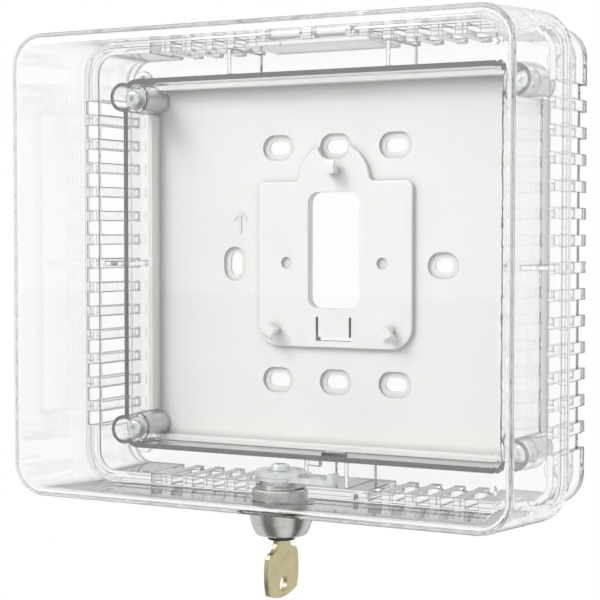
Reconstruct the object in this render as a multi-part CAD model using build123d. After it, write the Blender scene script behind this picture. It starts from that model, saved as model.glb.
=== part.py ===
from build123d import *
import math
import os

os.makedirs("parts", exist_ok=True)

# All sizes in millimetres. X runs to the right, Z up, the wall is the plane Y = 0.
# A depth is a distance out from the wall: the point lies at Y = -depth.

# Overall sizes
cover_rim_width = 185.8
cover_rim_height = 163.6
cover_depth = 48.0
ring_front_depth = 25.7
rim_lap = 1.5

# Cover
cover_rim_corner = 13.4
cover_side_draft = 2.75
cover_top_draft = 3.45
cover_corner_draft = 2.1
cover_wall = 2.3
cover_edge_round = 4.6
cover_rim_gap_x = 0.4
cover_rim_gap_z = 0.5

# Base ring
ring_corner = 11.0
skin_x = 2.2
skin_z = 2.1
floor_thickness = 2.2
flange_thickness = 1.6
flange_step = 0.4
flange_step_width = 1.2
vent_wall = 1.7
vent_gap_x = 1.8
vent_lean = 0.9
vent_corner = 7.0

# Leaning inner wall of the ring
inner_wall = 1.8
side_gutter = 13.0
end_gutter = 11.2
side_lean = 3.65
end_lean = 1.25
inner_front_corner = 3.5
inner_rear_corner = 5.0
inner_front_rise = 0.7
inner_foot_depth = 8.7

# Vent openings
side_pitch = 8.75
side_margin = 17.0
side_tooth = 3.8
side_bar = 3.55
foot_hole_height = 2.45
foot_hole_depth = 2.7
foot_hole_rise = 0.9
end_pitch = 8.65
end_first = 3
end_margin = 24.0
end_tooth = 3.8
end_centre_half = 18.0

# Ribs across the gutter
rib = 1.5
top_rib_x = 30.3
latch_rib_x = 15.3
side_rib_drop = 3.5

# Screw holes in the gutter corners
wall_hole_inset_x = 8.0
wall_hole_inset_z = 9.4
wall_hole_r = 2.3
wall_collar_r = 4.0
wall_collar_height = 1.4

# Bosses, posts and their screws
post_inset_x = 1.4
post_inset_z = 5.7
post_r = 3.7
post_gap = 0.3
post_depth = 16.2
post_hole_r = 1.55
post_hole_depth = 6.5
boss_wall = 1.2
boss_rise = 0.4
ear_gap = 0.2
ear_thickness = 1.8
ear_hole_r = 1.75
screw_r = 1.5
screw_head_r = 2.75
screw_head_height = 2.0
screw_length = 11.0
screw_star_r = 1.35
screw_star_inner = 0.95
screw_star_depth = 1.1

# Wallplate
plate_gap = 0.4
plate_thickness = 2.2
plate_corner = 4.6
plate_rim = 1.6
plate_rim_depth = 8.0
pad_width = 60.2
pad_height = 58.7
pad_rise = 1.8
pad_edge_round = 0.5
pad_top_corner = 2.5
pad_bottom_corner = 8.0
arch_r = 13.8
arch_foot_round = 2.0
wire_width = 20.4
wire_height = 41.2
wire_corner = 4.0
wire_z = 5.1
slot_x = 23.0
slot_z = 41.67
side_slot_x = 41.0
slot_length = 8.4
slot_width = 4.7
right_slot_length = 7.0
recess_length = 12.5
recess_width = 9.2
right_recess_length = 11.6
recess_depth = 1.1
snap_half = 6.0
snap_top = -18.5
snap_bottom = -27.0
snap_slot = 1.0
snap_foot = 1.4
hook_places = [(0.45, 32.9, 0.0), (-22.9, -22.9, 149.0), (21.9, -22.9, -149.0)]
hook_blade = 1.8
hook_width = 3.8
hook_rise = 5.2
hook_lip = 3.1
hook_lip_thickness = 2.1
hook_lip_bevel = 1.6
dimple_r = 2.1
dimple_depth = 1.0
dimple_x = 18.8
dimple_z = 0.6
arrow_x = -38.6
arrow_z = 15.0
arrow_height = 7.6
arrow_barb = 3.8
arrow_stroke = 0.7
arrow_rise = 0.3

# Hinge
hinge_lift = 0.35
rail_r = 0.9
slot_inner_x = 2.3
slot_outer_x = 15.2
hinge_post_r = 1.3
hinge_post_width = 1.8
hinge_slot_reach = 4.7
hook_gap = 0.1
hook_thickness = 1.0
hook_side_gap = 0.45
hook_from = -80.0
hook_to = 120.0
notch_half = 17.5
notch_depth = 2.6

# Lock housing and its nut
lock_depth = 43.5
seat_proud = 0.2
seat_thickness = 2.7
seat_margin = 0.75
bezel_lip = 2.45
bezel_mid_taper = 0.55
bezel_end_taper = 2.35
bezel_height = 8.4
bezel_round = 1.2
barrel_wall = 2.0
barrel_flat_wall = 1.1
barrel_height = 7.5
barrel_gap = 0.15
thread_count = 3
thread_pitch = 1.0
thread_first = 0.8
thread_cut = 0.35
thread_half = 0.4
nut_wall = 1.15
nut_height = 4.6
nut_gap = 0.1
nut_edge = 0.6

# Plug
plug_r = 6.2
plug_fit = 0.05
plug_top_gap = 0.1
plug_nose_r = 4.5
nose_drop = 1.6
tang_r = 4.0
tang_flat = 2.9
tang_gap = 0.08
tang_drop = 0.1
face_thickness = 2.0
groove_half = 3.8
groove_reach = 1.25

# Stop washer, cam and cam screw
stop_rim = 0.3
stop_thickness = 0.9
stop_tab_wall = 0.9
stop_tab_half = 8.0
stop_tab_angle = 225.0
stop_tab_drop = 1.1
stop_gap = 0.3
stop_play = 3.0
turn_angle = 90.0
cam_gap = 0.1
cam_thickness = 1.8
cam_overlap = 4.6
cam_arm_drop = 1.2
cam_step_width = 2.6
cam_root_low = -6.8
cam_root_high = 4.5
cam_tip_low = -5.2
cam_tip_high = -1.15
cam_tip_length = 5.0
cam_lip = 2.0
cam_lip_gap = 0.33
washer_r = 3.6
washer_thickness = 0.4
washer_gap = 0.2
cam_screw_r = 2.0
cam_screw_gap = 0.05
cam_screw_head_r = 3.0
cam_screw_head = 1.7
cam_screw_grip = 3.6
cross_length = 3.4
cross_width = 0.9
cross_depth = 1.1

# Keeper that the cam's lip goes behind
keeper_gap = 0.4
keeper_thickness = 1.8
keeper_x = 6.0
keeper_block_from = 6.6
keeper_block_to = 14.2
keeper_block_depth = 4.7
keeper_block_rise = 1.2

# Wafers and their springs
wafer_count = 5
wafer_pitch = 2.1
wafer_start = 2.9
wafer_thickness = 1.0
wafer_play = 0.05
wafer_half = 3.6
wafer_gap = 0.15
wafer_side_play = 0.1
window_half = 1.25
ear_y = -2.2
ledge_y = 1.0
ledge_x = 1.85
spring_x = 2.65
spring_r = 0.45
spring_wire_r = 0.1
spring_pitch = 0.65
spring_pocket_r = 0.65
spring_end_gap = 0.02

# Key
key_thickness = 2.0
key_bow_half = 10.6
key_bow_length = 19.3
key_bow_top_half = 9.9
key_bow_low_half = 9.5
key_bow_low_rise = 1.9
key_shoulder_half = 8.8
key_shoulder_drop = 3.8
key_shoulder_corner = 1.2
key_neck_half = 4.3
key_neck_length = 0.9
key_gap = 0.1
key_round = 0.8
key_edge = 0.25
key_hole_rise = 4.4
key_hole_width = 5.4
key_hole_height = 4.7
blade_thickness = 2.0
blade_half = 3.3
blade_play = 0.1
blade_end_gap = 0.2
blade_tip = 1.4
window_play = 0.15
keyway_end = 1.2
key_cuts = [0.5, 1.1, 0.8, 0.3, 0.9]
cut_floor = 1.2
cut_flare = 0.3

# Overlaps of the cutting and joining forms, beyond the faces they meet
over = 1.0
sink = 0.2

# Cover and ring, from the sizes above
cover_rim_depth = ring_front_depth - rim_lap
cover_front_depth = cover_rim_depth + cover_depth
ring_width = cover_rim_width - 2 * cover_wall - 2 * cover_rim_gap_x
ring_height = cover_rim_height - 2 * cover_wall - 2 * cover_rim_gap_z
ring_x = ring_width / 2
ring_z = ring_height / 2
skin_in_x = ring_x - skin_x
skin_in_z = ring_z - skin_z
vent_out_x = skin_in_x - vent_gap_x
vent_in_x = vent_out_x - vent_wall
vent_in_z = skin_in_z - vent_wall
flange_rear = ring_front_depth - flange_thickness
side_count = int((ring_height - 2 * side_margin) / side_pitch)
side_window = side_pitch - side_bar
foot_hole_start = floor_thickness + foot_hole_rise
end_last = int((ring_x - end_margin) / end_pitch)

# Inner wall, posts and holes
inner_front_depth = ring_front_depth + inner_front_rise
inner_rear_z = skin_in_z - end_gutter
inner_rear_width = 2 * (skin_in_x - side_gutter)
inner_rear_height = 2 * inner_rear_z
inner_front_width = inner_rear_width - 2 * side_lean
inner_front_height = inner_rear_height - 2 * end_lean
post_x = inner_rear_width / 2 - post_inset_x
post_z = inner_rear_z - post_inset_z
boss_r = post_r + post_gap + boss_wall
boss_start = floor_thickness + boss_rise
ear_rear = post_depth + ear_gap
ear_front = ear_rear + ear_thickness
wall_hole_x = skin_in_x - wall_hole_inset_x
wall_hole_z = skin_in_z - wall_hole_inset_z
pad_front = plate_thickness + pad_rise

# Hinge
hinge_depth = cover_rim_depth
hinge_z = ring_z + hinge_lift
hinge_post_x = slot_outer_x + hinge_post_width

# Lock radii and heights
barrel_r = plug_r + barrel_wall
barrel_flat = plug_r + barrel_flat_wall
bezel_top_r = barrel_r + bezel_lip
seat_r = bezel_top_r + seat_margin
nut_r = barrel_r + nut_wall
stop_r = barrel_r + stop_rim
stop_tab_inner = plug_r + stop_tab_wall
groove_r = plug_r + groove_reach
wafer_r = plug_r - wafer_gap
draft_at_lock = cover_top_draft * (lock_depth - cover_rim_depth) / cover_depth
seat_out_z = draft_at_lock - cover_rim_height / 2 - seat_proud
seat_in_z = seat_out_z + seat_thickness
bezel_end_z = seat_out_z - bezel_height
barrel_top_z = seat_in_z + barrel_height
plug_nose_z = bezel_end_z - nose_drop
plug_shoulder_z = bezel_end_z + face_thickness + plug_fit
plug_top_z = barrel_top_z + plug_top_gap
wafer_first_z = bezel_end_z + wafer_start
cam_bottom_z = plug_top_z + stop_thickness + cam_gap
cam_top_z = cam_bottom_z + cam_thickness
tang_top_z = cam_top_z - tang_drop
washer_top_z = cam_top_z + washer_thickness
cam_screw_end_z = plug_top_z - cam_screw_grip
keyway_top_z = cam_screw_end_z - keyway_end
blade_tip_z = keyway_top_z - blade_end_gap
neck_top_z = plug_nose_z - key_gap
key_bow_bottom = neck_top_z - key_bow_length

# Latch
cam_reach = lock_depth - ring_front_depth + cam_overlap
arm_top_z = cam_top_z - cam_arm_drop
keeper_bottom_z = arm_top_z + keeper_gap
keeper_outer_r = cam_reach - cam_lip - keeper_gap
keeper_inner_r = keeper_outer_r - keeper_thickness
lip_depth = lock_depth - cam_reach
lean_at_lip = end_lean * (inner_front_depth - lip_depth) / (inner_front_depth - inner_foot_depth)
cam_lip_top_z = -inner_front_height / 2 - inner_wall - lean_at_lip - cam_lip_gap


def at_depth(depth):
    """Plane parallel to the wall, its normal pointing out into the room."""
    return Plane.XZ.offset(depth)


def slab(width, height, corner, d0, d1):
    """Rounded rectangle about the box's centre line, from depth d0 out to d1."""
    return extrude(at_depth(d0) * RectangleRounded(width, height, corner), d1 - d0)


def taper(w0, h0, c0, d0, w1, h1, c1, d1):
    """Rounded rectangle that changes evenly from depth d0 to depth d1."""
    rear = at_depth(d0) * RectangleRounded(w0, h0, c0)
    front = at_depth(d1) * RectangleRounded(w1, h1, c1)
    return loft([rear, front], ruled=True)


def block(x0, x1, d0, d1, z0, z1):
    """Box between two X values, two depths and two heights."""
    centre = Pos((x0 + x1) / 2, -(d0 + d1) / 2, (z0 + z1) / 2)
    return centre * Box(abs(x1 - x0), abs(d1 - d0), abs(z1 - z0))


def rod(x, z, r, d0, d1):
    """Round bar square to the wall, from depth d0 out to d1."""
    return extrude(at_depth(d0) * Pos(x, z) * Circle(r), d1 - d0)


def disc(r, z0, z1):
    """Round bar on the lock's axis between two heights."""
    return Pos(0, -lock_depth, z0) * extrude(Circle(r), z1 - z0)


def lock_slab(sketch, z0, z1):
    """Sketch seen from above the lock, extruded between two heights."""
    return Pos(0, -lock_depth, z0) * extrude(sketch, z1 - z0)


def wedge(a0, a1, reach):
    """Sector-like outline from angle a0 to a1, wide enough to hold the arc inside reach."""
    steps = max(2, math.ceil((a1 - a0) / 30))
    points = [(0, 0)]
    for i in range(steps + 1):
        a = math.radians(a0 + (a1 - a0) * i / steps)
        points.append((1.5 * reach * math.cos(a), 1.5 * reach * math.sin(a)))
    return make_face(Polyline(*points, close=True))


def ring_sector(r0, r1, a0, a1):
    """Piece of a flat ring between two angles."""
    return (Circle(r1) - Circle(r0)) & wedge(a0, a1, r1)


def double_d(r, flat):
    """Circle with two flats across X."""
    return Circle(r) & Rectangle(2 * flat, 2 * r + over)


def corners(x, z):
    return [(sx * x, sz * z) for sx in (-1, 1) for sz in (-1, 1)]


def save(shape, node):
    shape.label = node
    export_step(shape, "parts/" + node + ".step")


def make_cover():
    """Clear lid: a drafted box, open to the wall, with its hinge hooks and lock seat."""
    width = cover_rim_width - 2 * cover_side_draft
    height = cover_rim_height - 2 * cover_top_draft
    corner = cover_rim_corner - cover_corner_draft
    solid = taper(cover_rim_width, cover_rim_height, cover_rim_corner, cover_rim_depth,
                  width, height, corner, cover_front_depth)
    solid = fillet(solid.faces().sort_by(Axis.Y)[0].edges(), cover_edge_round)
    t = cover_wall
    part_way = (cover_depth - t) / cover_depth
    inside = taper(cover_rim_width - 2 * t, cover_rim_height - 2 * t, cover_rim_corner - t,
                   cover_rim_depth,
                   cover_rim_width - 2 * t - 2 * cover_side_draft * part_way,
                   cover_rim_height - 2 * t - 2 * cover_top_draft * part_way,
                   cover_rim_corner - t - cover_corner_draft * part_way,
                   cover_front_depth - t)
    inside = fillet(inside.faces().sort_by(Axis.Y)[0].edges(), cover_edge_round - t)
    cover = solid - inside
    cover += disc(seat_r, seat_out_z, seat_in_z)
    cover -= disc(seat_r, seat_in_z, seat_in_z + t)
    cover -= disc(seat_r, seat_out_z - t, seat_out_z)
    cover -= lock_slab(double_d(barrel_r + barrel_gap, barrel_flat + barrel_gap),
                       seat_out_z - over, seat_in_z + over)
    top = cover_rim_height / 2
    cover -= block(-notch_half, notch_half, cover_rim_depth - over, cover_rim_depth + notch_depth,
                   top - 2 * t, top + over)
    inner_r = rail_r + hook_gap
    outer_r = inner_r + hook_thickness
    curl = ring_sector(inner_r, outer_r, hook_from, hook_to)
    reach = notch_depth + t / 2
    curl += Pos(-reach / 2, (inner_r + outer_r) / 2) * Rectangle(reach, hook_thickness)
    start = slot_inner_x + hook_side_gap
    length = slot_outer_x - hook_side_gap - start
    for x in (start, -start - length):
        plane = Plane.YZ.offset(x)
        cover += extrude(plane * Pos(-hinge_depth, hinge_z) * curl, length)
    return cover


def make_ring():
    """Clear ring on the wall: gutter, vent walls, teeth, bosses, hinge rails and keeper."""
    front = ring_front_depth
    ring = slab(2 * skin_in_x, 2 * skin_in_z, ring_corner - skin_x, 0, floor_thickness)
    ring += slab(ring_width, ring_height, ring_corner, 0, front) - \
        slab(2 * skin_in_x, 2 * skin_in_z, ring_corner - skin_x, -over, front + over)
    vent = taper(2 * (vent_out_x - vent_lean), 2 * skin_in_z, vent_corner + vent_wall, 0,
                 2 * vent_out_x, 2 * skin_in_z, vent_corner + vent_wall, front)
    vent -= taper(2 * (vent_in_x - vent_lean), 2 * vent_in_z, vent_corner, 0,
                  2 * vent_in_x, 2 * vent_in_z, vent_corner, front)
    ring += vent
    ring += slab(ring_width, ring_height, ring_corner, flange_rear, front) - \
        slab(2 * vent_in_x, 2 * vent_in_z, vent_corner, flange_rear - over, front + over)
    step = 2 * flange_step_width
    ring -= slab(ring_width + over, ring_height + over, ring_corner, front - flange_step,
                 front + over) - \
        slab(ring_width - step, ring_height - step, ring_corner - flange_step_width,
             front - flange_step - over, front + 2 * over)

    t = inner_wall
    ring += slab(inner_rear_width + 2 * t, inner_rear_height + 2 * t, inner_rear_corner + t,
                 0, inner_foot_depth)
    ring += taper(inner_rear_width + 2 * t, inner_rear_height + 2 * t, inner_rear_corner + t,
                  inner_foot_depth,
                  inner_front_width + 2 * t, inner_front_height + 2 * t, inner_front_corner + t,
                  inner_front_depth)
    for sx in (-1, 1):
        ring += block(sx * top_rib_x - rib / 2, sx * top_rib_x + rib / 2, sink, front - over,
                      inner_rear_z, vent_in_z + sink)
        ring += block(sx * (inner_front_width / 2), sx * (vent_in_x + sink), sink,
                      front - side_rib_drop, -rib / 2, rib / 2)
    for x in (0, latch_rib_x):
        ring += block(x - rib / 2, x + rib / 2, sink, front - over, -inner_rear_z,
                      -vent_in_z - sink)
    for x, z in corners(post_x, post_z):
        ring += rod(x, z, boss_r, 0, inner_front_depth)

    ring -= slab(inner_rear_width, inner_rear_height, inner_rear_corner, -over, inner_foot_depth)
    ring -= taper(inner_rear_width, inner_rear_height, inner_rear_corner, inner_foot_depth,
                  inner_front_width, inner_front_height, inner_front_corner, inner_front_depth)
    for x, z in corners(post_x, post_z):
        ring += rod(x, z, boss_r, boss_start, ear_front)
    for x, z in corners(post_x, post_z):
        ring -= rod(x, z, post_r + post_gap, -over, ear_rear)
        ring -= rod(x, z, post_r + post_gap, ear_front, inner_front_depth + over)
        ring -= rod(x, z, ear_hole_r, ear_rear - over, ear_front + over)

    for x, z in corners(wall_hole_x, wall_hole_z):
        ring += rod(x, z, wall_collar_r, sink, floor_thickness + wall_collar_height)
        ring -= rod(x, z, wall_hole_r, -over, floor_thickness + wall_collar_height + over)

    cuts = []
    half_gap = (side_pitch - side_tooth) / 2
    vent_near = vent_in_x - vent_lean - over
    vent_far = vent_out_x + sink
    for i in range(side_count):
        z = (i - (side_count - 1) / 2) * side_pitch
        for sx in (-1, 1):
            cuts.append(block(sx * skin_in_x, sx * (ring_x + over), -over, flange_rear,
                              z - half_gap, z + half_gap))
            cuts.append(block(sx * vent_near, sx * vent_far, floor_thickness, flange_rear,
                              z - side_window / 2, z + side_window / 2))
            if i > 0:
                foot = z - side_pitch / 2
                cuts.append(block(sx * vent_near, sx * vent_far,
                                  foot_hole_start, foot_hole_start + foot_hole_depth,
                                  foot - foot_hole_height / 2, foot + foot_hole_height / 2))
    end_gap = end_pitch - end_tooth
    spans = []
    for i in range(end_first, end_last + 1):
        spans.append((i * end_pitch - end_gap / 2, i * end_pitch + end_gap / 2))
    for x0, x1 in spans:
        for sx in (-1, 1):
            for sz in (-1, 1):
                cuts.append(block(sx * x0, sx * x1, floor_thickness, flange_rear,
                                  sz * (vent_in_z - sink), sz * (skin_in_z + sink)))
    spans.append((end_centre_half, end_first * end_pitch - end_gap / 2 - end_tooth))
    for x0, x1 in spans:
        for sx in (-1, 1):
            for sz in (-1, 1):
                cuts.append(block(sx * x0, sx * x1, -over, flange_rear,
                                  sz * skin_in_z, sz * (ring_z + over)))
    for sx in (-1, 1):
        cuts.append(block(sx * slot_inner_x, sx * slot_outer_x, hinge_depth - hinge_slot_reach,
                          front + over, skin_in_z, ring_z + over))
    ring -= cuts

    outline = Circle(hinge_post_r)
    drop = hinge_z - skin_in_z + sink
    outline += Pos(0, -drop / 2) * Rectangle(2 * hinge_post_r, drop)
    spots = [(-hinge_post_x, -slot_outer_x), (-slot_inner_x, slot_inner_x),
             (slot_outer_x, hinge_post_x)]
    for x0, x1 in spots:
        ring += extrude(Plane.YZ.offset(x0) * Pos(-hinge_depth, hinge_z) * outline, x1 - x0)
    for x0 in (-slot_outer_x, slot_inner_x):
        length = slot_outer_x - slot_inner_x
        ring += extrude(Plane.YZ.offset(x0) * Pos(-hinge_depth, hinge_z) * Circle(rail_r), length)

    wall_line = -inner_front_height / 2
    arc = Circle(keeper_outer_r) - Circle(keeper_inner_r)
    arc &= Pos(keeper_x / 2, keeper_outer_r / 2) * Rectangle(keeper_x, keeper_outer_r + over)
    ring += lock_slab(arc, keeper_bottom_z, wall_line - inner_wall / 2)
    ring += block(keeper_block_from, keeper_block_to, inner_front_depth - keeper_block_depth,
                  inner_front_depth, wall_line - over, wall_line + keeper_block_rise)
    return ring


def obround(length, width, upright):
    """Slot outline, lying or upright."""
    return SlotOverall(length, width, rotation=90 if upright else 0)


def pad_outline():
    """Raised pad with larger lower corners and a round arch on its top edge."""
    half_w = pad_width / 2
    half_h = pad_height / 2
    pad = RectangleRounded(pad_width, pad_height, pad_top_corner)
    pad += Pos(0, half_h) * Circle(arch_r)
    c = pad_bottom_corner
    for sx in (-1, 1):
        square = Pos(sx * (half_w - c / 2), -half_h + c / 2) * Rectangle(c, c)
        round_part = Pos(sx * (half_w - c), -half_h + c) * Circle(c)
        pad -= square - round_part
    feet = [v for v in pad.vertices() if v.Y > half_h - sink and abs(v.X) < arch_r + over]
    return fillet(feet, arch_foot_round)


def plate_hook(x, z, angle):
    """Small standing blade with a lip at its outer end, bevelled in front."""
    inner = -hook_blade / 2
    neck = hook_blade / 2
    tip = neck + hook_lip
    top = hook_rise + sink
    under = top - hook_lip_thickness
    side = Polygon((inner, 0), (neck, 0), (neck, under), (tip, under), (tip, top - hook_lip_bevel),
                   (tip - hook_lip_bevel, top), (inner, top), align=None)
    hook = extrude(Plane.YZ * side, hook_width / 2, both=True)
    spot = at_depth(pad_front - sink) * Pos(x, z) * Rot(0, 0, angle)
    return spot * hook


def slot_places():
    """Each screw slot's place, length, recess length and whether it stands upright."""
    places = []
    for sx in (-1, 0, 1):
        for sz in (-1, 1):
            places.append((sx * slot_x, sz * slot_z, slot_length, recess_length, False))
    places.append((-side_slot_x, 0, slot_length, recess_length, True))
    places.append((side_slot_x, 0, right_slot_length, right_recess_length, False))
    return places


def make_wallplate():
    """Grey plate that the thermostat clips to, inside the ring."""
    width = inner_rear_width - 2 * plate_gap
    height = inner_rear_height - 2 * plate_gap
    plate = slab(width, height, plate_corner, 0, plate_thickness)
    rim = slab(width, height, plate_corner, 0, plate_rim_depth)
    rim -= slab(width - 2 * plate_rim, height - 2 * plate_rim, plate_corner - plate_rim,
                plate_thickness, plate_rim_depth + over)
    for x, z in corners(post_x, post_z):
        rim -= rod(x, z, boss_r + plate_gap, plate_thickness, plate_rim_depth + over)
    plate += rim
    for x, z in corners(post_x, post_z):
        plate += rod(x, z, post_r, 0, post_depth)
        plate -= rod(x, z, post_hole_r, post_hole_depth, post_depth + over)

    pad = extrude(at_depth(sink) * pad_outline(), pad_front - sink)
    plate += fillet(pad.faces().sort_by(Axis.Y)[0].edges(), pad_edge_round)
    for x, z, angle in hook_places:
        plate += plate_hook(x, z, angle)

    for x, z, length, outer, upright in slot_places():
        spot = Pos(x, z)
        recess = at_depth(plate_thickness - recess_depth) * spot * \
            obround(outer, recess_width, upright)
        plate -= extrude(recess, pad_rise + recess_depth + over)
        hole = at_depth(-over) * spot * obround(length, slot_width, upright)
        plate -= extrude(hole, plate_thickness + 2 * over)

    wire = at_depth(-over) * Pos(0, wire_z) * RectangleRounded(wire_width, wire_height, wire_corner)
    plate -= extrude(wire, pad_front + 2 * over)
    for sx in (-1, 1):
        plate -= block(sx * snap_half, sx * (snap_half + snap_slot), -over, pad_front + over,
                       snap_bottom, snap_top)
        plate -= rod(sx * dimple_x, dimple_z, dimple_r, pad_front - dimple_depth, pad_front + over)
    plate -= block(-snap_half - snap_slot, snap_half + snap_slot, -over, pad_front + over,
                   snap_bottom, snap_bottom + snap_foot)
    return plate + plate_arrow()


def plate_arrow():
    """Small raised arrow that shows which way is up."""
    tip = arrow_z + arrow_height / 2
    shaft_length = arrow_height - arrow_stroke
    arrow = Pos(arrow_x, tip - arrow_stroke - shaft_length / 2) * \
        Rectangle(arrow_stroke, shaft_length)
    for turn in (-1, 1):
        arrow += Pos(arrow_x, tip) * Rot(0, 0, turn * 45) * Pos(-turn * arrow_barb / 2, 0) * \
            Rectangle(arrow_barb, arrow_stroke)
    return extrude(at_depth(plate_thickness - sink) * arrow, arrow_rise + sink)


def star():
    """Six-pointed driver recess."""
    points = []
    for i in range(12):
        r = screw_star_r if i % 2 == 0 else screw_star_inner
        a = math.radians(30 * i)
        points.append((r * math.cos(a), r * math.sin(a)))
    return make_face(Polyline(*points, close=True))


def make_ring_screws():
    """Four alike screws that hold the ring to the wallplate's posts."""
    screws = []
    for x, z in corners(post_x, post_z):
        screw = rod(x, z, screw_head_r, ear_front, ear_front + screw_head_height)
        screw = fillet(screw.faces().sort_by(Axis.Y)[0].edges(), screw_head_height / 2)
        screw += rod(x, z, screw_r, ear_front - screw_length, ear_front + sink)
        top = ear_front + screw_head_height
        recess = at_depth(top - screw_star_depth) * Pos(x, z) * star()
        screw -= extrude(recess, screw_star_depth + over)
        screws.append(screw.solid())
    return Compound(children=screws)


def make_lock_housing():
    """Tapered bezel below the cover and double-D barrel above it, with the plug's bore."""
    mid_z = (seat_out_z + bezel_end_z) / 2
    bezel_mid_r = bezel_top_r - bezel_mid_taper
    bezel_end_r = bezel_top_r - bezel_end_taper
    side = ThreePointArc((bezel_top_r, seat_out_z), (bezel_mid_r, mid_z), (bezel_end_r, bezel_end_z))
    outline = side + Polyline((bezel_end_r, bezel_end_z), (0, bezel_end_z), (0, seat_out_z),
                              (bezel_top_r, seat_out_z))
    bezel = revolve(Plane.XZ * make_face(outline), Axis.Z)
    bezel = fillet(bezel.faces().sort_by(Axis.Z)[0].edges(), bezel_round)
    housing = Pos(0, -lock_depth, 0) * bezel
    housing += lock_slab(double_d(barrel_r, barrel_flat), seat_out_z - over, barrel_top_z)
    for i in range(thread_count):
        z = barrel_top_z - thread_first - thread_pitch * i
        v = make_face(Polyline((barrel_r - thread_cut, z), (barrel_r + sink, z - thread_half),
                               (barrel_r + sink, z + thread_half), close=True))
        housing -= Pos(0, -lock_depth, 0) * revolve(Plane.XZ * v, Axis.Z)
    bore_bottom = bezel_end_z + face_thickness
    housing -= disc(plug_r + plug_fit, bore_bottom, barrel_top_z + over)
    housing -= disc(plug_nose_r + plug_fit, bezel_end_z - over, bore_bottom + over)
    last = wafer_first_z + (wafer_count - 1) * wafer_pitch
    housing -= lock_slab(Rectangle(2 * groove_half, 2 * groove_r),
                         wafer_first_z - wafer_thickness, last + wafer_thickness)
    a0 = stop_tab_angle - stop_tab_half - stop_play
    a1 = stop_tab_angle + turn_angle + stop_tab_half + stop_play
    notch = ring_sector(stop_tab_inner - stop_gap, barrel_r + over, a0, a1)
    housing -= lock_slab(notch, barrel_top_z - stop_tab_drop - stop_gap, barrel_top_z + over)
    return housing


def make_lock_nut():
    """Thin round nut that clamps the housing to the cover's floor."""
    nut = lock_slab(Circle(nut_r) - Circle(barrel_r + nut_gap), seat_in_z, seat_in_z + nut_height)
    return chamfer(nut.faces().sort_by(Axis.Z)[-1].outer_wire().edges(), nut_edge)


def wafer_z(i):
    return wafer_first_z + i * wafer_pitch


def make_lock_plug():
    """Plug that turns with the key: nose, wafer slots, keyway and the cam's tang."""
    plug = disc(plug_nose_r, plug_nose_z, plug_shoulder_z + sink)
    plug += disc(plug_r, plug_shoulder_z, plug_top_z)
    plug += lock_slab(double_d(tang_r, tang_flat), plug_top_z - sink, tang_top_z)
    play = wafer_half + wafer_side_play
    half = wafer_thickness / 2 + wafer_play
    long_y = plug_r + over
    for i in range(wafer_count):
        z = wafer_z(i)
        y0 = lock_depth - ledge_y
        plug -= block(-play, ledge_x, lock_depth - long_y, lock_depth + long_y, z - half, z + half)
        plug -= block(ledge_x - sink, play, y0, lock_depth + long_y, z - half, z + half)
        plug -= rod(spring_x, z, spring_pocket_r, y0, lock_depth - ear_y)
    plug -= lock_slab(Rectangle(blade_thickness + 2 * blade_play, 2 * (blade_half + blade_play)),
                      plug_nose_z - over, keyway_top_z)
    plug -= disc(cam_screw_r + cam_screw_gap, cam_screw_end_z - blade_end_gap, tang_top_z + over)
    return plug


def make_stop_washer():
    """Washer with a down-turned tab that runs in the barrel's notch."""
    washer = Circle(stop_r) - double_d(tang_r + tang_gap, tang_flat + tang_gap)
    part = lock_slab(washer, plug_top_z, plug_top_z + stop_thickness)
    tab = ring_sector(stop_tab_inner, stop_r, stop_tab_angle - stop_tab_half,
                      stop_tab_angle + stop_tab_half)
    return part + lock_slab(tab, plug_top_z - stop_tab_drop, plug_top_z + sink)


def make_lock_cam():
    """Cam: flat hub, an arm to the right that steps down, and an upturned lip at its tip."""
    shoulder = cam_reach - cam_tip_length
    end = cam_reach + over
    points = [(0, cam_root_low), (shoulder, cam_tip_low), (end, cam_tip_low),
              (end, cam_tip_high), (shoulder, cam_tip_high), (0, cam_root_high)]
    arm = make_face(Polyline(*points, close=True)) & Circle(cam_reach)
    near = stop_r + stop_gap
    hub = (arm & Circle(near + cam_step_width)) + Circle(stop_r)
    hub -= double_d(tang_r + tang_gap, tang_flat + tang_gap)
    cam = lock_slab(hub, cam_bottom_z, cam_top_z)
    cam += lock_slab(arm - Circle(near), arm_top_z - cam_thickness, arm_top_z)
    width = cam_tip_high - cam_tip_low
    lip = Circle(cam_reach) - Circle(cam_reach - cam_lip)
    lip &= Pos(cam_reach, cam_tip_low + width / 2) * Rectangle(2 * cam_lip + over, width)
    return cam + lock_slab(lip, arm_top_z - sink, cam_lip_top_z)


def make_cam_washer():
    """Small round washer under the cam screw's head."""
    ring = Circle(washer_r) - Circle(cam_screw_r + washer_gap)
    return lock_slab(ring, cam_top_z, washer_top_z)


def make_cam_screw():
    """Pan-head screw with a cross recess that holds the cam on the plug."""
    head = disc(cam_screw_head_r, washer_top_z, washer_top_z + cam_screw_head)
    head = fillet(head.faces().sort_by(Axis.Z)[-1].edges(), cam_screw_head / 2.5)
    screw = head + disc(cam_screw_r, cam_screw_end_z, washer_top_z + sink)
    cross = Rectangle(cross_length, cross_width) + Rectangle(cross_width, cross_length)
    top = washer_top_z + cam_screw_head
    return screw - lock_slab(cross, top - cross_depth, top + over)


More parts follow.
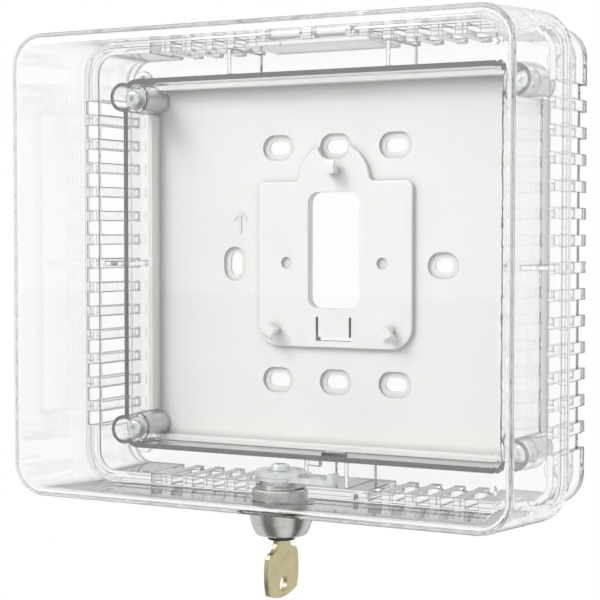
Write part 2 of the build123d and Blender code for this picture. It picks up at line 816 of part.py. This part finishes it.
def make_wafer(i):
    """Thin plate around the key blade; its window fits its own cut in the key."""
    z = wafer_z(i)
    plate = Circle(wafer_r) & Rectangle(2 * wafer_half, 4 * wafer_r)
    high = blade_half + window_play
    low = -blade_half - window_play - key_cuts[i]
    plate -= Pos(0, (high + low) / 2) * Rectangle(2 * window_half, high - low)
    leg = ledge_x - wafer_side_play
    notch_x = wafer_half + over - leg
    notch_y = wafer_r + over - ear_y
    plate -= Pos(leg + notch_x / 2, ear_y + notch_y / 2) * Rectangle(notch_x, notch_y)
    return lock_slab(plate, z - wafer_thickness / 2, z + wafer_thickness / 2)


def make_springs():
    """One small coil behind each wafer, each an unbroken tube."""
    low = ear_y + spring_wire_r + spring_end_gap
    high = ledge_y - spring_wire_r - spring_end_gap
    length = high - low
    path = Helix(pitch=spring_pitch, height=length, radius=spring_r)
    start = path @ 0
    section = Plane(origin=start, z_dir=path % 0) * Circle(spring_wire_r)
    coil = sweep(section, path=path)
    springs = []
    for i in range(wafer_count):
        spot = Pos(spring_x, low - lock_depth, wafer_z(i)) * Rot(-90, 0, 0)
        springs.append((spot * coil).solid())
    print("least gap between coils, mm:", round(spring_pitch - 2 * spring_wire_r, 3))
    return Compound(children=springs)


def key_bow():
    """Outline of the bow: short neck, hollow shoulders, full sides and a bowed end."""
    top = neck_top_z - key_neck_length
    shoulder = neck_top_z - key_shoulder_drop
    corner = shoulder - key_shoulder_corner
    low = key_bow_bottom + key_bow_low_rise
    lines = []
    for s in (-1, 1):
        neck = (s * key_neck_half, top)
        inner = (s * key_shoulder_half, shoulder)
        outer = (s * key_bow_top_half, corner)
        foot = (s * key_bow_low_half, low)
        lines.append(Line((s * key_neck_half, neck_top_z), neck))
        lines.append(RadiusArc(neck, inner, -s * key_shoulder_half / 2))
        lines.append(Line(inner, outer))
        lines.append(ThreePointArc(outer, (s * key_bow_half, (corner + low) / 2), foot))
    lines.append(Line((-key_neck_half, neck_top_z), (key_neck_half, neck_top_z)))
    lines.append(ThreePointArc((-key_bow_low_half, low), (0, key_bow_bottom), (key_bow_low_half, low)))
    bow = make_face(lines)
    outer_corners = [v for v in bow.vertices() if v.Y < shoulder + sink]
    bow = fillet(outer_corners, key_round)
    hole_z = key_bow_bottom + key_hole_rise
    return bow - Pos(0, hole_z) * Ellipse(key_hole_width / 2, key_hole_height / 2)


def make_key():
    """Flat key: bow with a ring hole, neck, and a blade cut alike on both edges."""
    middle = Plane.YZ * Pos(-lock_depth, 0)
    key = extrude(middle * key_bow(), key_thickness / 2, both=True)
    key = chamfer(key.faces().filter_by(Axis.X).edges(), key_edge)
    shoulder = blade_half - blade_tip
    blade = [(-blade_half, neck_top_z - over), (blade_half, neck_top_z - over),
             (blade_half, blade_tip_z - blade_tip), (shoulder, blade_tip_z),
             (-shoulder, blade_tip_z), (-blade_half, blade_tip_z - blade_tip)]
    flat = make_face(Polyline(*blade, close=True))
    for i in range(wafer_count):
        cut = key_cuts[i]
        wide = cut_floor / 2 + cut + cut_flare
        z = wafer_z(i)
        for s in (-1, 1):
            edge = s * (blade_half + cut_flare)
            bottom = s * (blade_half - cut)
            flat -= make_face(Polyline((edge, z - wide), (bottom, z - cut_floor / 2),
                                       (bottom, z + cut_floor / 2), (edge, z + wide),
                                       close=True))
    return key + extrude(middle * flat, blade_thickness / 2, both=True)


save(make_cover(), "cover")
save(make_ring(), "base_ring")
save(make_wallplate(), "wallplate")
save(make_ring_screws(), "ring_screws")
save(make_lock_housing(), "lock_housing")
save(make_lock_nut(), "lock_nut")
save(make_lock_plug(), "lock_plug")
save(make_stop_washer(), "stop_washer")
save(make_lock_cam(), "lock_cam")
save(make_cam_washer(), "cam_washer")
save(make_cam_screw(), "cam_screw")
save(make_key(), "key")
for number in range(wafer_count):
    save(make_wafer(number), "wafer_" + str(number + 1))
save(make_springs(), "wafer_springs")
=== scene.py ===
"""Looks for a clear wall-mounted thermostat lock box: materials, camera, lamps and stage round its CAD frame."""

import math

import bpy
import numpy as np
from bpy.props import FloatProperty, FloatVectorProperty, PointerProperty
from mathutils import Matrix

bl_info = {
    "name": "Thermostat Lock Box",
    "version": (1, 0, 0),
    "blender": (4, 5, 0),
    "location": "View3D > Sidebar > Lock Box",
    "description": "Finishes a clear thermostat lock box and sets its camera, lamps and stage",
    "category": "Object",
}

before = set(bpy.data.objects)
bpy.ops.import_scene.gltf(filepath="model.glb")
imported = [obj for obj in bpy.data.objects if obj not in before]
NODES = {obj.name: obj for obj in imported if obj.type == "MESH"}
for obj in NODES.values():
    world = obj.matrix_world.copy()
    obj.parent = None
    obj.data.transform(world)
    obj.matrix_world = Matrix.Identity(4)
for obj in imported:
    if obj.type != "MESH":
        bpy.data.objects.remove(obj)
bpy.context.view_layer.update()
SHEET = 0.0023  # just in front of the ring's vented sheet, as a depth from the wall
RIM = 0.0263  # just behind the front rim of the ring's inner wall
INNER_HALF_WIDTH = 0.084  # that rim lies inside this and the next
INNER_HALF_HEIGHT = 0.074
BOUNCES = 40  # fewer leave black hairlines along the cover's front edge
FLOOR_STEPS = 8


def colour(name, text, value):
    return FloatVectorProperty(name=name, description=text, default=value, size=3,
                               subtype="COLOR", min=0.0, max=1.0)


class LOCKBOX_PG_looks(bpy.types.PropertyGroup):
    """Colours and grain sizes of the box's finishes, with the colours of the clear plastic's painted shade."""

    clear: colour("Clear plastic", "Tint of the moulded cover and ring", (0.995, 1.0, 1.0))
    # Painted shade: dark grey painted on the clear plastic's level walls where seen edge-on, stronger near the
    # box's bottom.
    level: colour("Level walls", "Tint of level walls where they are seen edge-on", (0.05, 0.052, 0.052))
    # Painted shade: dark lines painted along every edge of the cover and ring, and on the ring's inner rim and
    # vent sides.
    edge: colour("Cut edges", "Tint of the ring's rims and vent edges", (0.03, 0.031, 0.031))
    plate: colour("Wallplate", "Colour of the matt wallplate", (0.80, 0.80, 0.775))
    nickel: colour("Satin nickel", "Colour of the lock's bezel and barrel", (0.56, 0.55, 0.53))
    zinc: colour("Zinc", "Colour of the screws, washers and cam", (0.72, 0.73, 0.74))
    brass: colour("Key brass", "Colour of the pale brass key", (0.60, 0.54, 0.33))
    wafer: colour("Wafer brass", "Colour of the stamped wafers", (0.66, 0.50, 0.24))
    dark: colour("Plug", "Colour of the dark plug", (0.03, 0.03, 0.032))
    plate_grain: FloatProperty(name="Plate grain", description="Size of the plate's spark-eroded grain",
                               default=0.0006, min=0.0001, max=0.01, unit="LENGTH")
    brush_grain: FloatProperty(name="Brush grain", description="Width of the brushing on the metal",
                               default=0.00012, min=0.00001, max=0.01, unit="LENGTH")


class LOCKBOX_PG_studio(bpy.types.PropertyGroup):
    """Camera place, lamps and floor."""

    camera_place: FloatVectorProperty(name="Camera", description="Place of the camera", size=3,
                                      default=(0.25028, -0.50994, 0.01059), subtype="TRANSLATION",
                                      unit="LENGTH")
    camera_turn: FloatVectorProperty(name="Camera turn", description="Turn of the camera", size=3,
                                     default=(math.radians(87.6623), math.radians(-0.0343),
                                              math.radians(27.5549)),
                                     subtype="EULER", unit="ROTATION")
    lens: FloatProperty(name="Lens", description="Focal length on a 36 mm sensor", default=95.94,
                        min=10, unit="CAMERA")
    floor_drop: FloatProperty(name="Floor drop", description="How far the floor lies below the origin",
                              default=0.26, min=0.12, unit="LENGTH")
    key_power: FloatProperty(name="Key lamp", description="Power of the large front lamp", default=12.7,
                             min=0.0, unit="POWER")
    fill_power: FloatProperty(name="Fill lamp", description="Power of the side lamp", default=0.6,
                              min=0.0, unit="POWER")
    ambient: FloatProperty(name="Ambient", description="Strength of the soft light all round",
                           default=0.56, min=0.0)


class Tree:
    """Small helper that adds and links shader nodes in one material or world."""

    def __init__(self, block):
        block.use_nodes = True
        self.nt = block.node_tree
        self.nt.nodes.clear()

    def add(self, kind, inputs=(), **settings):
        node = self.nt.nodes.new("ShaderNode" + kind)
        for name, value in settings.items():
            setattr(node, name, value)
        for key, value in dict(inputs).items():
            if isinstance(value, bpy.types.NodeSocket):
                self.nt.links.new(value, node.inputs[key])
            else:
                node.inputs[key].default_value = value
        return node

    def coords(self, scale=(1, 1, 1)):
        place = self.add("TexCoord").outputs["Object"]
        return self.add("Mapping", {"Vector": place, "Scale": scale}).outputs[0]

    def noise(self, vector, size, detail=3.0, rough=0.5):
        return self.add("TexNoise", {"Vector": vector, "Scale": 1.0 / size, "Detail": detail,
                                     "Roughness": rough}).outputs["Fac"]

    def span(self, value, low, high, start=0.25, end=0.75):
        return self.add("MapRange", {"Value": value, "From Min": start, "From Max": end,
                                     "To Min": low, "To Max": high}).outputs[0]

    def ramp(self, fac, *stops):
        node = self.add("ValToRGB", {"Fac": fac})
        points = node.color_ramp.elements
        points[0].position, points[0].color = stops[0][0], (*stops[0][1], 1)
        points[1].position, points[1].color = stops[-1][0], (*stops[-1][1], 1)
        for place, shade in stops[1:-1]:
            points.new(place).color = (*shade, 1)
        return node.outputs[0]

    def maths(self, operation, a, b=0.0):
        return self.add("Math", {0: a, 1: b}, operation=operation).outputs[0]

    def bump(self, height, strength, distance):
        return self.add("Bump", {"Height": height, "Strength": strength, "Distance": distance}).outputs[0]

    def done(self, shader):
        self.add("OutputMaterial", {"Surface": shader})


def tint(rgb, k):
    return tuple(min(1.0, c * k) for c in rgb)


def painted_edge_shade_mask(t, back, rim, half_width, half_height):
    """Painted shade mask: 0.6 on the cut sides of the vented sheet behind 'back', 1 on the inner wall's rim at
    'rim', else 0.
    """
    place = t.add("TexCoord").outputs
    at = t.add("SeparateXYZ", {0: place["Object"]}).outputs
    depth = t.maths("MULTIPLY", at["Y"], -1.0)
    facing = t.maths("ABSOLUTE", t.add("SeparateXYZ", {0: place["Normal"]}).outputs["Y"])
    behind = t.span(depth, 1.0, 0.0, back, back + 0.0002)
    cut = t.maths("MULTIPLY", behind, t.span(facing, 1.0, 0.0, 0.3, 0.5))
    inside = t.maths("MULTIPLY", t.maths("LESS_THAN", t.maths("ABSOLUTE", at["X"]), half_width),
                     t.maths("LESS_THAN", t.maths("ABSOLUTE", at["Z"]), half_height))
    front = t.maths("MULTIPLY", t.span(depth, 0.0, 1.0, rim - 0.0002, rim), inside)
    return t.maths("MAXIMUM", t.maths("MULTIPLY", cut, 0.6), front)


def ring_painted_edge_shade(t):
    """The painted edge shade mask at the base ring's own depths and inner wall."""
    return painted_edge_shade_mask(t, SHEET, RIM, INNER_HALF_WIDTH, INNER_HALF_HEIGHT)


def painted_level_shade(t, top_share):
    """How much painted shade a level wall gets edge-on: fully near the box's bottom, 'top_share' of that near
    its top.
    """
    place = t.add("TexCoord").outputs
    level = t.maths("ABSOLUTE", t.add("SeparateXYZ", {0: place["Normal"]}).outputs["Z"])
    height = t.add("SeparateXYZ", {0: place["Object"]}).outputs["Z"]
    low = t.span(height, 1.0, top_share, -0.05, 0.05)
    share = t.maths("MULTIPLY", t.span(level, 0.0, 1.0, 0.7, 0.95), low)
    grazing = t.span(t.add("LayerWeight", {"Blend": 0.5}).outputs["Facing"], 0.0, 1.0, 0.6, 0.8)
    return t.maths("MULTIPLY", share, grazing)


def clear_plastic(looks, name, top_share, mask=None):
    """Polycarbonate: glass-like body with painted shade along its edges and on level walls seen edge-on, with
    faint mould waves and hairline scuffs.
    """
    mat = bpy.data.materials.new(name)
    t = Tree(mat)
    waves = t.noise(t.coords(), 0.03, 2.0)
    scuffs = t.noise(t.coords((1, 1, 9)), 0.004, 6.0, 0.7)
    rough = t.span(scuffs, 0.004, 0.03, 0.5, 0.8)
    normal = t.bump(waves, 0.006, 0.0003)
    path = t.add("LightPath").outputs
    # Painted shade: level walls seen edge-on are painted towards the dark 'level' colour, more near the bottom;
    # only a little of it is the plastic's own greying along a long path.
    grey = painted_level_shade(t, top_share)
    shade = t.add("MixRGB", {0: grey, 1: (*looks.clear, 1), 2: (*looks.level, 1)}).outputs[0]
    # Painted shade: edges found by the Bevel node, and the places in 'mask', are painted towards the dark 'edge'
    # colour.
    near = t.add("VectorMath", {0: t.add("Bevel", {"Radius": 0.0006}, samples=4).outputs[0],
                                1: t.add("NewGeometry").outputs["Normal"]}, operation="DOT_PRODUCT")
    dark = t.span(near.outputs["Value"], 1.0, 0.0, 0.92, 0.995)
    if mask is not None:
        dark = t.maths("MAXIMUM", dark, mask(t))
    shade = t.add("MixRGB", {0: dark, 1: shade, 2: (*looks.edge, 1)}).outputs[0]
    body = t.add("BsdfPrincipled", {"Base Color": shade, "Roughness": rough, "IOR": 1.5,
                                    "Transmission Weight": 1.0, "Normal": normal})
    lit = t.add("BsdfTransparent", {"Color": (0.95, 0.955, 0.955, 1)})
    mix = t.add("MixShader", {0: path["Is Shadow Ray"], 1: body.outputs[0], 2: lit.outputs[0]})
    inside = t.add("VolumeAbsorption", {"Color": (0.5, 0.5, 0.5, 1), "Density": 5.0})
    t.add("OutputMaterial", {"Surface": mix.outputs[0], "Volume": inside.outputs[0]})
    return mat


def plate_plastic(looks):
    """Warm light grey matt moulding: spark-eroded grain, slight mottling, painted shade in its creases and soft
    sheen.
    """
    mat = bpy.data.materials.new("wallplate_plastic")
    t = Tree(mat)
    vector = t.coords()
    grain = t.noise(vector, looks.plate_grain, 4.0, 0.6)
    cloud = t.noise(vector, 0.05, 3.0)
    shade = t.ramp(cloud, (0.3, tint(looks.plate, 0.985)), (0.7, tint(looks.plate, 1.02)))
    # Painted shade: ambient occlusion darkens the colour in creases, recesses and corners.
    crease_painted_shade = t.add("AmbientOcclusion", {"Color": shade, "Distance": 0.003}, samples=4, only_local=True)
    shade = t.add("MixRGB", {0: 0.6, 1: shade, 2: crease_painted_shade.outputs["Color"]}).outputs[0]
    rough = t.span(grain, 0.42, 0.62)
    normal = t.bump(grain, 0.25, 0.00006)
    body = t.add("BsdfPrincipled", {"Base Color": shade, "Roughness": rough, "Normal": normal,
                                    "Specular IOR Level": 0.4})
    t.done(body.outputs[0])
    return mat


def metal(looks, name, rgb, rough, along=(1, 1, 1), spots=0.06, wear=1.15):
    """Plated or bare metal: fine brushing along one axis, cloudy tone and worn paler patches."""
    mat = bpy.data.materials.new(name)
    t = Tree(mat)
    brush = t.noise(t.coords(along), looks.brush_grain, 3.0, 0.65)
    cloud = t.noise(t.coords(), 0.004, 5.0, 0.6)
    shade = t.ramp(cloud, (0.32, tint(rgb, 1.0 - 2 * spots)), (0.5, rgb), (0.72, tint(rgb, wear)))
    surface = t.span(cloud, rough * 0.8, rough * 1.35)
    normal = t.bump(brush, 0.18, 0.00002)
    body = t.add("BsdfPrincipled", {"Base Color": shade, "Metallic": 1.0, "Roughness": surface,
                                    "Normal": normal})
    t.done(body.outputs[0])
    return mat


def dark_face(looks):
    """Blackened plug face: dark, slightly greasy, with a faint cloudy pattern."""
    mat = bpy.data.materials.new("blackened_plug")
    t = Tree(mat)
    cloud = t.noise(t.coords(), 0.0015, 4.0)
    shade = t.ramp(cloud, (0.3, tint(looks.dark, 0.7)), (0.7, tint(looks.dark, 1.6)))
    rough = t.span(cloud, 0.3, 0.5)
    normal = t.bump(cloud, 0.2, 0.00003)
    body = t.add("BsdfPrincipled", {"Base Color": shade, "Roughness": rough, "Normal": normal})
    t.done(body.outputs[0])
    return mat


def finish_nodes(mat, *names):
    for name in names:
        for slot in NODES[name].material_slots:
            slot.material = mat


def looks():
    return bpy.context.scene.lockbox_looks


class Piece(bpy.types.Operator):
    """Common base of the box's operators."""

    bl_options = {"REGISTER", "UNDO"}


class LOCKBOX_OT_clear(Piece):
    """Give the cover and the base ring their clear plastic."""

    bl_idname = "lockbox.clear"
    bl_label = "Clear cover and ring"

    def execute(self, context):
        # The cover gets a quarter of the painted level-wall shade near its top and the ring nearly all of it;
        # the ring also gets painted shade on its rims and vent sides.
        finish_nodes(clear_plastic(looks(), "clear_cover", 0.25), "cover")
        ring = clear_plastic(looks(), "clear_ring", 0.9, ring_painted_edge_shade)
        finish_nodes(ring, "base_ring")
        return {"FINISHED"}


class LOCKBOX_OT_wallplate(Piece):
    """Give the wallplate its matt grained plastic."""

    bl_idname = "lockbox.wallplate"
    bl_label = "Wallplate"

    def execute(self, context):
        finish_nodes(plate_plastic(looks()), "wallplate")
        return {"FINISHED"}


class LOCKBOX_OT_lock(Piece):
    """Give the lock's housing, nut, plug, cam and washers their metals."""

    bl_idname = "lockbox.lock"
    bl_label = "Lock"

    def execute(self, context):
        p = looks()
        finish_nodes(metal(p, "satin_nickel", p.nickel, 0.2, (1, 1, 40)), "lock_housing", "lock_nut")
        finish_nodes(metal(p, "zinc_plate", p.zinc, 0.28, (30, 1, 1)), "stop_washer", "lock_cam",
                     "cam_washer", "cam_screw")
        finish_nodes(dark_face(p), "lock_plug")
        wafers = [name for name in NODES if name.startswith("wafer_") and name != "wafer_springs"]
        finish_nodes(metal(p, "wafer_brass", p.wafer, 0.3), *wafers)
        finish_nodes(metal(p, "spring_wire", p.zinc, 0.22), "wafer_springs")
        return {"FINISHED"}


class LOCKBOX_OT_key(Piece):
    """Give the key its pale worn brass."""

    bl_idname = "lockbox.key"
    bl_label = "Key"

    def execute(self, context):
        p = looks()
        finish_nodes(metal(p, "key_brass", p.brass, 0.36, (1, 1, 30), 0.08), "key")
        return {"FINISHED"}


class LOCKBOX_OT_screws(Piece):
    """Give the four ring screws their bright zinc."""

    bl_idname = "lockbox.screws"
    bl_label = "Ring screws"

    def execute(self, context):
        p = looks()
        finish_nodes(metal(p, "screw_zinc", p.zinc, 0.25, (20, 20, 1)), "ring_screws")
        return {"FINISHED"}


def flat_floor(name, size, height):
    """Square sheet: x and y run evenly over the grid, z stays at one height."""
    line = np.linspace(-size, size, FLOOR_STEPS + 1)
    x, y = np.meshgrid(line, line, indexing="ij")
    points = np.stack([x, y, np.full_like(x, height)], -1).reshape(-1, 3)
    i, j = np.meshgrid(np.arange(FLOOR_STEPS), np.arange(FLOOR_STEPS), indexing="ij")
    row = FLOOR_STEPS + 1
    a = (i * row + j).ravel()
    faces = np.stack([a, a + row, a + row + 1, a + 1], 1)
    mesh = bpy.data.meshes.new(name)
    mesh.from_pydata(points.tolist(), [], faces.tolist())
    ob = bpy.data.objects.new(name, mesh)
    bpy.context.scene.collection.objects.link(ob)
    return ob


CARDS = ((-180, 0.8), (-150, 0.8), (-126, 0.22), (-100, 0.22), (-72, 0.85), (-30, 0.85), (-12, 0.16),
         (12, 0.16), (34, 0.8), (78, 0.8), (100, 0.3), (134, 0.3), (152, 0.8), (180, 0.8))


def studio_cards(t, vector):
    """Brightness that mirrors see: pale and dark cards that stand round the box, by compass direction."""
    way = t.add("SeparateXYZ", {0: vector}).outputs
    turn = t.maths("ARCTAN2", way["Y"], way["X"])
    around = t.span(turn, 0.0, 1.0, -math.pi, math.pi)
    return t.ramp(around, *[((angle + 180) / 360, (v, v, v)) for angle, v in CARDS])


def studio_light(t, kind, coordinates, others, darkest):
    """White for the eye and through clear walls, cards in mirrors, and 'others' for soft light."""
    path = t.add("LightPath").outputs
    tones = t.span(studio_cards(t, coordinates), darkest, 1.0, 0.16, 0.85)
    cards = t.add(kind, {"Color": tones, "Strength": 1.0})
    white = t.add(kind, {"Color": (1, 1, 1, 1), "Strength": 1.0})
    mix = t.add("MixShader", {0: path["Is Glossy Ray"], 1: others.outputs[0], 2: cards.outputs[0]})
    seen = t.maths("MAXIMUM", path["Is Camera Ray"], path["Is Transmission Ray"])
    return t.add("MixShader", {0: seen, 1: mix.outputs[0], 2: white.outputs[0]}).outputs[0]


def area_lamp(name, place, aim, size, power):
    data = bpy.data.lights.new(name, "AREA")
    data.size = size
    data.energy = power
    ob = bpy.data.objects.new(name, data)
    ob.location = place
    away = np.array(place) - np.array(aim)
    turn = math.atan2(away[1], away[0]) + math.pi / 2
    tip = math.atan2(math.hypot(away[0], away[1]), away[2])
    ob.rotation_euler = (tip, 0, turn)
    bpy.context.scene.collection.objects.link(ob)
    return ob


class LOCKBOX_OT_stage(Piece):
    """Set the camera, the soft lamps, the white world and the pale floor."""

    bl_idname = "lockbox.stage"
    bl_label = "Stage"

    def execute(self, context):
        p = context.scene.lockbox_studio
        scene = context.scene
        camera = bpy.data.objects.new("camera", bpy.data.cameras.new("camera"))
        camera.location = p.camera_place
        camera.rotation_euler = p.camera_turn
        camera.data.lens = p.lens
        camera.data.clip_start = 0.01
        scene.collection.objects.link(camera)
        scene.camera = camera

        world = bpy.data.worlds.new("studio")
        scene.world = world
        t = Tree(world)
        soft = t.add("Background", {"Color": (1, 1, 1, 1), "Strength": p.ambient})
        way = t.add("TexCoord").outputs["Generated"]
        t.add("OutputWorld", {"Surface": studio_light(t, "Background", way, soft, 0.72)})

        floor = flat_floor("floor", 6.0, -p.floor_drop)
        mat = bpy.data.materials.new("floor_white")
        t = Tree(mat)
        matt = t.add("BsdfDiffuse", {"Color": (0.85, 0.85, 0.85, 1)})
        t.done(studio_light(t, "Emission", t.coords(), matt, 0.18))
        floor.data.materials.append(mat)

        area_lamp("key_lamp", (-0.8, -1.1, 1.1), (0, 0, 0), 0.6, p.key_power)
        area_lamp("fill_lamp", (1.3, -0.7, 0.3), (0, 0, 0), 1.2, p.fill_power)
        scene.cycles.max_bounces = BOUNCES
        scene.cycles.transmission_bounces = BOUNCES
        scene.cycles.glossy_bounces = BOUNCES
        scene.view_settings.view_transform = "Standard"
        return {"FINISHED"}


class LOCKBOX_PT_panel(bpy.types.Panel):
    """Sidebar panel of the lock box's pieces."""

    bl_idname = "LOCKBOX_PT_panel"
    bl_label = "Lock Box"
    bl_space_type = "VIEW_3D"
    bl_region_type = "UI"
    bl_category = "Lock Box"

    def draw(self, context):
        for operator in OPERATORS:
            self.layout.operator(operator.bl_idname)
        for group in (context.scene.lockbox_looks, context.scene.lockbox_studio):
            for name in group.__annotations__:
                self.layout.prop(group, name)


GROUPS = (LOCKBOX_PG_looks, LOCKBOX_PG_studio)
OPERATORS = (LOCKBOX_OT_clear, LOCKBOX_OT_wallplate, LOCKBOX_OT_lock, LOCKBOX_OT_key,
             LOCKBOX_OT_screws, LOCKBOX_OT_stage)


def register():
    for cls in (*GROUPS, *OPERATORS, LOCKBOX_PT_panel):
        bpy.utils.register_class(cls)
    bpy.types.Scene.lockbox_looks = PointerProperty(type=LOCKBOX_PG_looks)
    bpy.types.Scene.lockbox_studio = PointerProperty(type=LOCKBOX_PG_studio)


def unregister():
    del bpy.types.Scene.lockbox_studio
    del bpy.types.Scene.lockbox_looks
    for cls in reversed((*GROUPS, *OPERATORS, LOCKBOX_PT_panel)):
        bpy.utils.unregister_class(cls)


def main():
    register()
    for operator in OPERATORS:
        family, name = operator.bl_idname.split(".")
        getattr(getattr(bpy.ops, family), name)()


if __name__ == "__main__":
    main()
